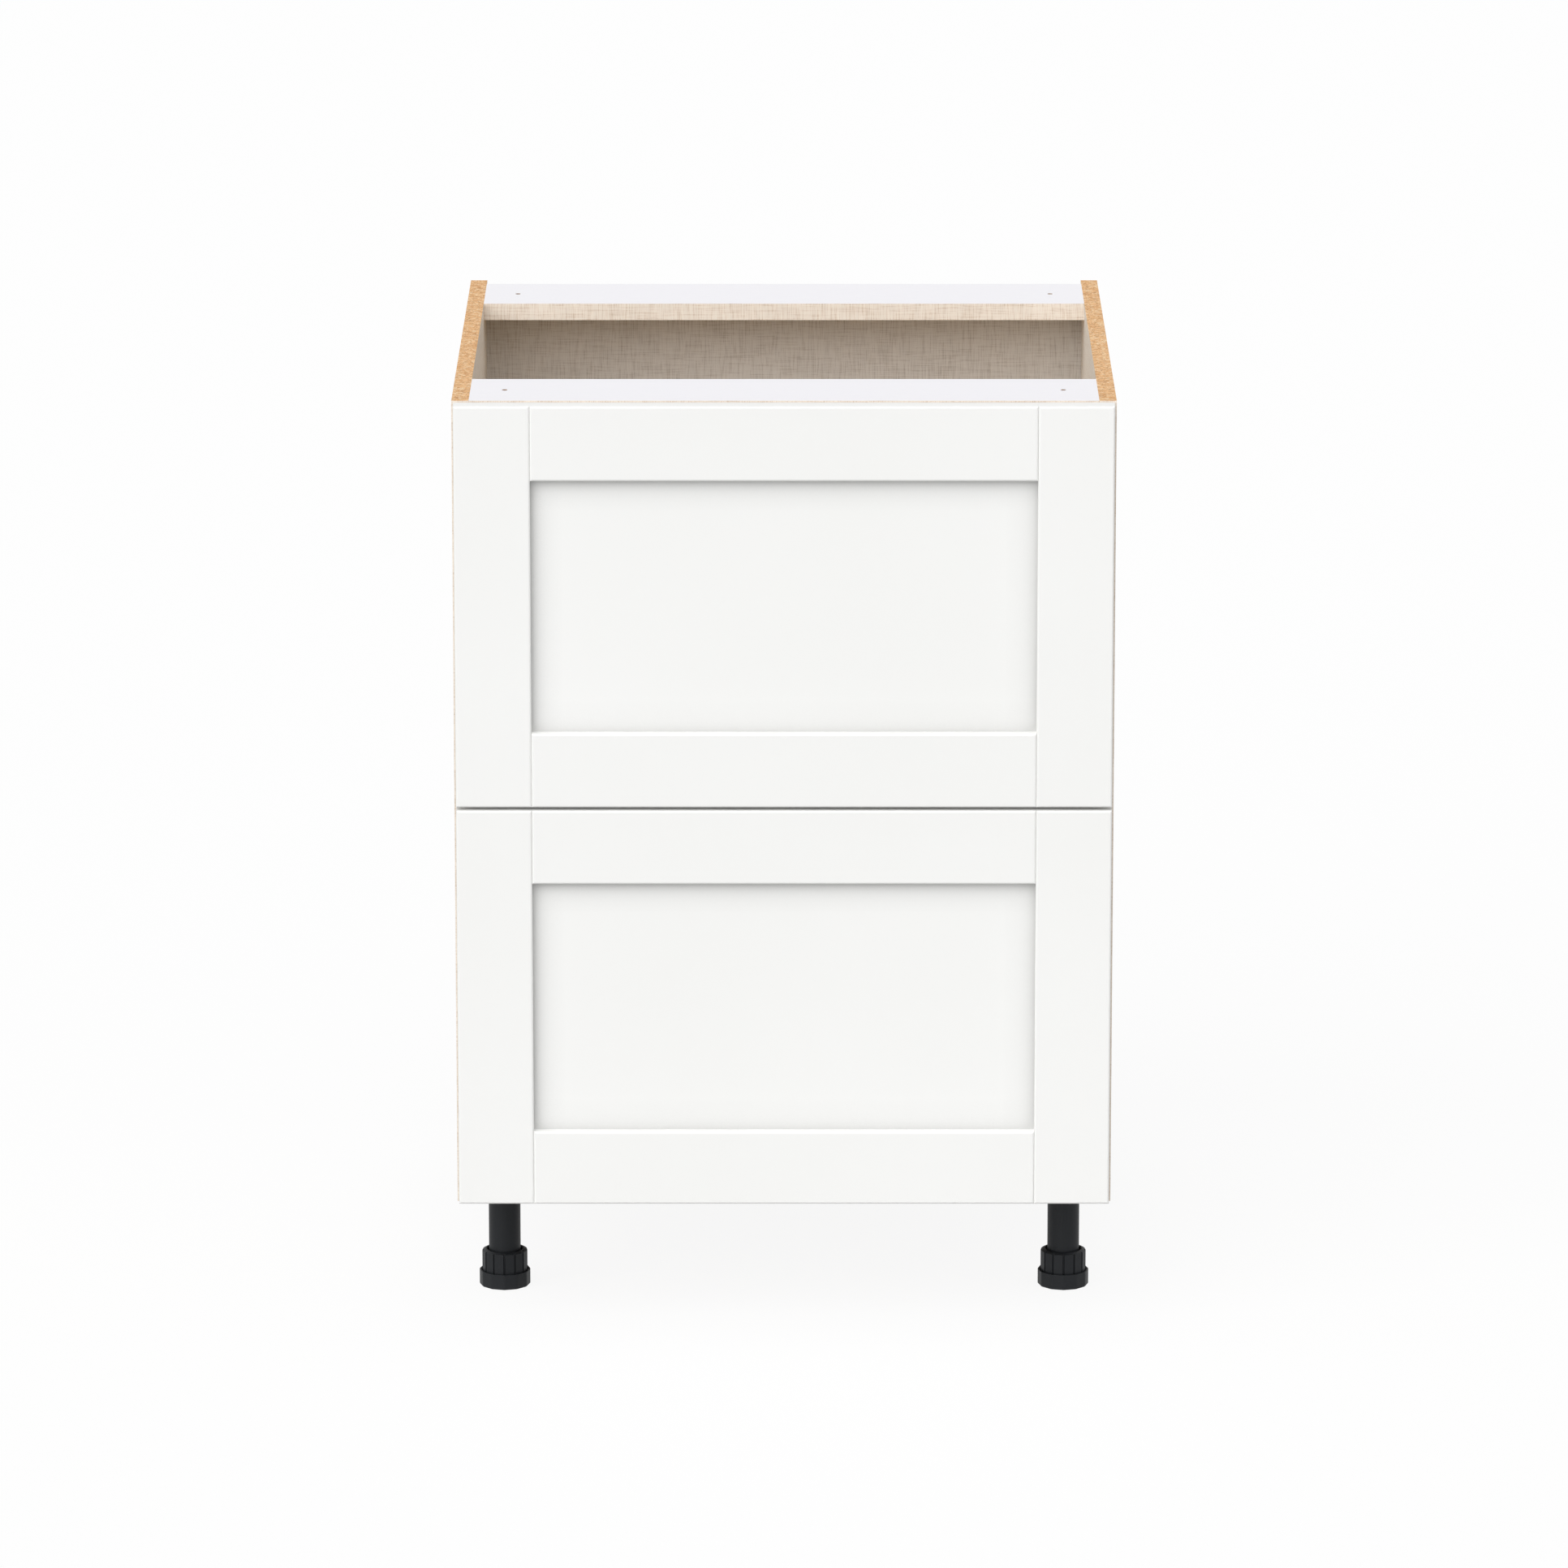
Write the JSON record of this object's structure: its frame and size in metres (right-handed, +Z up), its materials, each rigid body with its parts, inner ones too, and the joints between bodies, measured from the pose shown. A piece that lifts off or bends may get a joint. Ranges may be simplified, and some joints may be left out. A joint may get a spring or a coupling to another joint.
{
  "type": "base cabinet with drawers",
  "caption": "Frameless kitchen base cabinet with stacked handleless framed-front drawers on full-extension under-box runners, open top with fixing rails, and screw-adjustable legs",
  "frame": {"origin": "Middle of the footprint on the floor: centre of the overall width and depth, Z 0 at the underside of the feet", "axes": "+Z up; -Y is the side the drawer fronts face and open towards; +Y to the wall; +X to the right of a person facing the fronts"},
  "size_m": [0.6096, 0.611, 0.8763],
  "materials": {
    "front_paint": "satin white paint",
    "linen_board": "linen-pattern melamine on particleboard",
    "rail_board": "white melamine on particleboard",
    "edge_band": "matte edge band",
    "birch": "clear satin varnish",
    "beech": "raw",
    "runner_steel": "zinc plated",
    "screw_steel": "zinc plated",
    "cage_plastic": "satin nylon",
    "lock_plastic": "satin",
    "bumper_rubber": "clear soft",
    "leg_plastic": "satin moulded black"
  },
  "bodies": {
    "carcass": {"side_panel_left": "linen_board", "side_panel_right": "linen_board", "bottom_panel": "linen_board", "back_panel": "linen_board", "top_rail_front": "rail_board", "top_rail_back": "rail_board", "edge_bands": "edge_band", "carcass_screws": "screw_steel", "carcass_dowels": "beech", "runner_screws": "screw_steel", "leg_sockets": "leg_plastic", "leg_tubes": "leg_plastic", "leg_screws": "screw_steel", "lower_runner_cabinet_left": "runner_steel", "lower_runner_cabinet_right": "runner_steel", "upper_runner_cabinet_left": "runner_steel", "upper_runner_cabinet_right": "runner_steel"},
    "lower_drawer": {"lower_front_stile_left": "front_paint", "lower_front_stile_right": "front_paint", "lower_front_rail_top": "front_paint", "lower_front_rail_bottom": "front_paint", "lower_front_panel": "front_paint", "lower_box_side_left": "birch", "lower_box_side_right": "birch", "lower_box_front": "birch", "lower_box_back": "birch", "lower_box_bottom": "birch", "lower_runner_members": "runner_steel", "lower_front_screws": "screw_steel", "lower_bumpers": "bumper_rubber", "lower_runner_locks": "lock_plastic"},
    "lower_middles": {"lower_runner_middles": "runner_steel"},
    "lower_cages_outer": {"lower_roller_cages_outer": "cage_plastic"},
    "lower_cages_inner": {"lower_roller_cages_inner": "cage_plastic"},
    "upper_drawer": {"upper_front_stile_left": "front_paint", "upper_front_stile_right": "front_paint", "upper_front_rail_top": "front_paint", "upper_front_rail_bottom": "front_paint", "upper_front_panel": "front_paint", "upper_box_side_left": "birch", "upper_box_side_right": "birch", "upper_box_front": "birch", "upper_box_back": "birch", "upper_box_bottom": "birch", "upper_runner_members": "runner_steel", "upper_front_screws": "screw_steel", "upper_bumpers": "bumper_rubber", "upper_runner_locks": "lock_plastic"},
    "upper_middles": {"upper_runner_middles": "runner_steel"},
    "upper_cages_outer": {"upper_roller_cages_outer": "cage_plastic"},
    "upper_cages_inner": {"upper_roller_cages_inner": "cage_plastic"},
    "pad_front_left": {"leg_pad_front_left": "leg_plastic"},
    "collar_front_left": {"leg_collar_front_left": "leg_plastic"},
    "pad_front_right": {"leg_pad_front_right": "leg_plastic"},
    "collar_front_right": {"leg_collar_front_right": "leg_plastic"},
    "pad_back_left": {"leg_pad_back_left": "leg_plastic"},
    "collar_back_left": {"leg_collar_back_left": "leg_plastic"},
    "pad_back_right": {"leg_pad_back_right": "leg_plastic"},
    "collar_back_right": {"leg_collar_back_right": "leg_plastic"}
  },
  "joints": [
    {"name": "lower_drawer_slide", "type": "slide", "parent": "carcass", "child": "lower_drawer", "axis": [0, -1, 0], "range_m": [0, 0.51]},
    {"name": "lower_middles_slide", "type": "slide", "parent": "carcass", "child": "lower_middles", "axis": [0, -1, 0], "range_m": [0, 0.255]},
    {"name": "lower_cages_outer_slide", "type": "slide", "parent": "carcass", "child": "lower_cages_outer", "axis": [0, -1, 0], "range_m": [0, 0.3825]},
    {"name": "lower_cages_inner_slide", "type": "slide", "parent": "carcass", "child": "lower_cages_inner", "axis": [0, -1, 0], "range_m": [0, 0.1275]},
    {"name": "upper_drawer_slide", "type": "slide", "parent": "carcass", "child": "upper_drawer", "axis": [0, -1, 0], "range_m": [0, 0.51]},
    {"name": "upper_middles_slide", "type": "slide", "parent": "carcass", "child": "upper_middles", "axis": [0, -1, 0], "range_m": [0, 0.255]},
    {"name": "upper_cages_outer_slide", "type": "slide", "parent": "carcass", "child": "upper_cages_outer", "axis": [0, -1, 0], "range_m": [0, 0.3825]},
    {"name": "upper_cages_inner_slide", "type": "slide", "parent": "carcass", "child": "upper_cages_inner", "axis": [0, -1, 0], "range_m": [0, 0.1275]},
    {"name": "pad_front_left_slide", "type": "slide", "parent": "carcass", "child": "pad_front_left", "axis": [0, 0, -1], "range_m": [-0.01, 0.03]},
    {"name": "collar_front_left_turn", "type": "hinge", "parent": "pad_front_left", "child": "collar_front_left", "pos_m": [-0.2644, -0.1695, 0.02], "axis": [0, 0, -1], "range_deg": [-1201, 3601]},
    {"name": "pad_front_right_slide", "type": "slide", "parent": "carcass", "child": "pad_front_right", "axis": [0, 0, -1], "range_m": [-0.01, 0.03]},
    {"name": "collar_front_right_turn", "type": "hinge", "parent": "pad_front_right", "child": "collar_front_right", "pos_m": [0.2644, -0.1695, 0.02], "axis": [0, 0, -1], "range_deg": [-1201, 3601]},
    {"name": "pad_back_left_slide", "type": "slide", "parent": "carcass", "child": "pad_back_left", "axis": [0, 0, -1], "range_m": [-0.01, 0.03]},
    {"name": "collar_back_left_turn", "type": "hinge", "parent": "pad_back_left", "child": "collar_back_left", "pos_m": [-0.2644, 0.1861, 0.02], "axis": [0, 0, -1], "range_deg": [-1201, 3601]},
    {"name": "pad_back_right_slide", "type": "slide", "parent": "carcass", "child": "pad_back_right", "axis": [0, 0, -1], "range_m": [-0.01, 0.03]},
    {"name": "collar_back_right_turn", "type": "hinge", "parent": "pad_back_right", "child": "collar_back_right", "pos_m": [0.2644, 0.1861, 0.02], "axis": [0, 0, -1], "range_deg": [-1201, 3601]}
  ],
  "couplings": [
    {"joint": "lower_middles_slide", "follows": "lower_drawer_slide", "ratio": 0.5},
    {"joint": "lower_cages_outer_slide", "follows": "lower_drawer_slide", "ratio": 0.75},
    {"joint": "lower_cages_inner_slide", "follows": "lower_drawer_slide", "ratio": 0.25},
    {"joint": "upper_middles_slide", "follows": "upper_drawer_slide", "ratio": 0.5},
    {"joint": "upper_cages_outer_slide", "follows": "upper_drawer_slide", "ratio": 0.75},
    {"joint": "upper_cages_inner_slide", "follows": "upper_drawer_slide", "ratio": 0.25},
    {"joint": "collar_front_left_turn", "follows": "pad_front_left_slide", "rad_per_m": 2094.4},
    {"joint": "collar_front_right_turn", "follows": "pad_front_right_slide", "rad_per_m": 2094.4},
    {"joint": "collar_back_left_turn", "follows": "pad_back_left_slide", "rad_per_m": 2094.4},
    {"joint": "collar_back_right_turn", "follows": "pad_back_right_slide", "rad_per_m": 2094.4}
  ]
}
